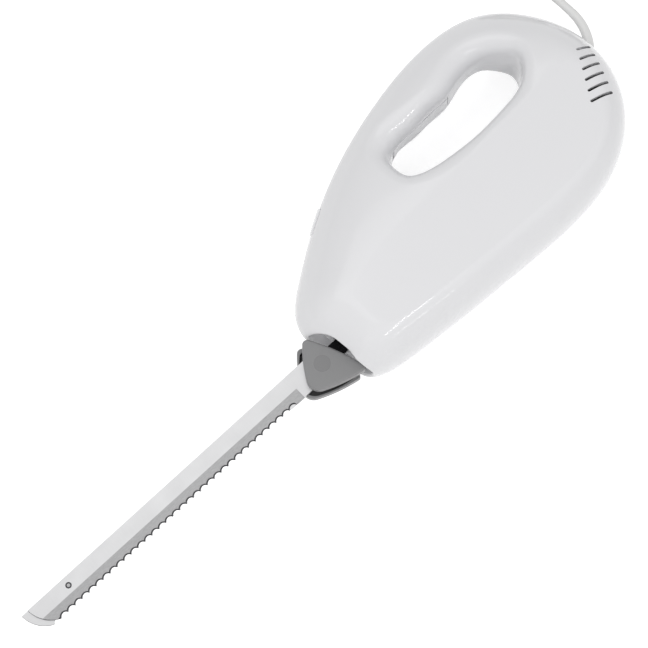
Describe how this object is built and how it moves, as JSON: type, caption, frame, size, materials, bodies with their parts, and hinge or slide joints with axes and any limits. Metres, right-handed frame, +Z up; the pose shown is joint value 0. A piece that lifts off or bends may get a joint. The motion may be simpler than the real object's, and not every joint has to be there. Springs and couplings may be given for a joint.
{
  "type": "electric carving knife",
  "caption": "Corded carving knife with a pair of scalloped reciprocating blades, grey guards and a white rounded motor housing with a closed hand grip.",
  "frame": {"origin": "middle of the box round the knife without its cord", "axes": "+X from the blade tips to the rear, +Y from the cutting edges up to the grip, +Z to the knife's left; it lies on its right side, so Z is up"},
  "size_m": [0.5394, 0.2146, 0.062],
  "materials": {
    "white_plastic": "glossy white ABS",
    "grey_plastic": "fine satin grey moulding",
    "blade_steel": "ground stainless steel",
    "bright_steel": "bright steel",
    "spring_steel": "spring steel",
    "acetal": "natural acetal",
    "bronze": "sintered bronze",
    "zinc_sheet": "zinc plated sheet",
    "lamination": "varnished steel sheet stack",
    "copper": "enamelled copper wire",
    "commutator_copper": "turned copper",
    "carbon": "pressed carbon",
    "black_plastic": "black nylon",
    "yellow_film": "potted film capacitor",
    "white_cord": "white flexible sheath",
    "tie_plastic": "white strap",
    "plated_pin": "nickel plated brass"
  },
  "bodies": {
    "housing": {"housing_left": "white_plastic", "housing_right": "white_plastic", "housing_screws": "bright_steel", "gear_axle": "bright_steel", "shaft_tip_bush": "bronze", "front_bush": "bronze", "rear_bush": "bronze", "front_bridge": "zinc_sheet", "rear_bridge": "zinc_sheet", "motor_screws": "bright_steel", "motor_sleeves": "zinc_sheet", "stator_core": "lamination", "field_coil_upper": "copper", "field_coil_lower": "copper", "brush_left": "carbon", "brush_right": "carbon", "brush_holder_left": "black_plastic", "brush_holder_right": "black_plastic", "brush_spring_left": "spring_steel", "brush_spring_right": "spring_steel", "capacitor": "yellow_film", "trigger_pin": "bright_steel", "trigger_spring": "spring_steel", "switch_body": "black_plastic", "release_spring": "spring_steel", "strain_relief": "white_cord", "cord": "white_cord", "cord_coil": "white_cord", "cord_strap": "tie_plastic", "plug_body": "white_cord", "plug_pins": "plated_pin"},
    "rotor": {"worm": "bright_steel", "motor_shaft": "bright_steel", "rotor_core": "lamination", "rotor_windings": "copper", "commutator": "commutator_copper", "cooling_fan": "black_plastic"},
    "gear": {"drive_gear": "acetal", "eccentric_left": "acetal", "eccentric_right": "acetal"},
    "driver_left_body": {"driver_left": "acetal", "clip_left": "spring_steel"},
    "driver_right_body": {"driver_right": "acetal", "clip_right": "spring_steel"},
    "blade_left_body": {"blade_left": "blade_steel", "guard_left": "grey_plastic", "blade_rivet": "blade_steel"},
    "blade_right_body": {"blade_right": "blade_steel", "guard_right": "grey_plastic"},
    "trigger_body": {"trigger": "white_plastic"},
    "plunger": {"switch_plunger": "acetal"},
    "button": {"release_button": "white_plastic"}
  },
  "joints": [
    {"name": "rotor_spin", "type": "hinge", "parent": "housing", "child": "rotor", "pos_m": [0.0935, -0.0351, 0], "axis": [1, 0, 0], "continuous": true},
    {"name": "gear_spin", "type": "hinge", "parent": "housing", "child": "gear", "pos_m": [0.053, -0.0146, 0], "axis": [0, 0, 1], "continuous": true},
    {"name": "stroke_left", "type": "slide", "parent": "housing", "child": "driver_left_body", "axis": [1, 0, 0], "range_m": [-0.00625, 0.00175]},
    {"name": "stroke_right", "type": "slide", "parent": "housing", "child": "driver_right_body", "axis": [1, 0, 0], "range_m": [-0.00175, 0.00625]},
    {"name": "blade_left_pull", "type": "slide", "parent": "driver_left_body", "child": "blade_left_body", "axis": [-1, 0, 0], "range_m": [0, 0.04], "deforming": ["clip_left"]},
    {"name": "blade_right_pull", "type": "slide", "parent": "driver_right_body", "child": "blade_right_body", "axis": [-1, 0, 0], "range_m": [0, 0.04], "deforming": ["clip_right"]},
    {"name": "trigger_press", "type": "hinge", "parent": "housing", "child": "trigger_body", "pos_m": [0.13712, 0.03485, 0], "axis": [0, 0, -1], "range_deg": [0, 4], "stiffness_Nm_per_rad": 1, "springref_deg": -4.58, "deforming": ["trigger_spring"]},
    {"name": "switch_plunge", "type": "slide", "parent": "housing", "child": "plunger", "axis": [0, 1, 0], "range_m": [0, 0.0018]},
    {"name": "release_press", "type": "slide", "parent": "housing", "child": "button", "axis": [0, -1, 0], "range_m": [0, 0.003], "stiffness_N_per_m": 300, "springref_m": -0.004, "deforming": ["release_spring"]}
  ],
  "couplings": [
    {"joint": "gear_spin", "follows": "rotor_spin", "ratio": -0.03125},
    {"joint": "stroke_right", "follows": "stroke_left", "ratio": -1},
    {"joint": "blade_right_pull", "follows": "blade_left_pull", "ratio": 1},
    {"joint": "switch_plunge", "follows": "trigger_press", "m_per_rad": 0.024824}
  ]
}
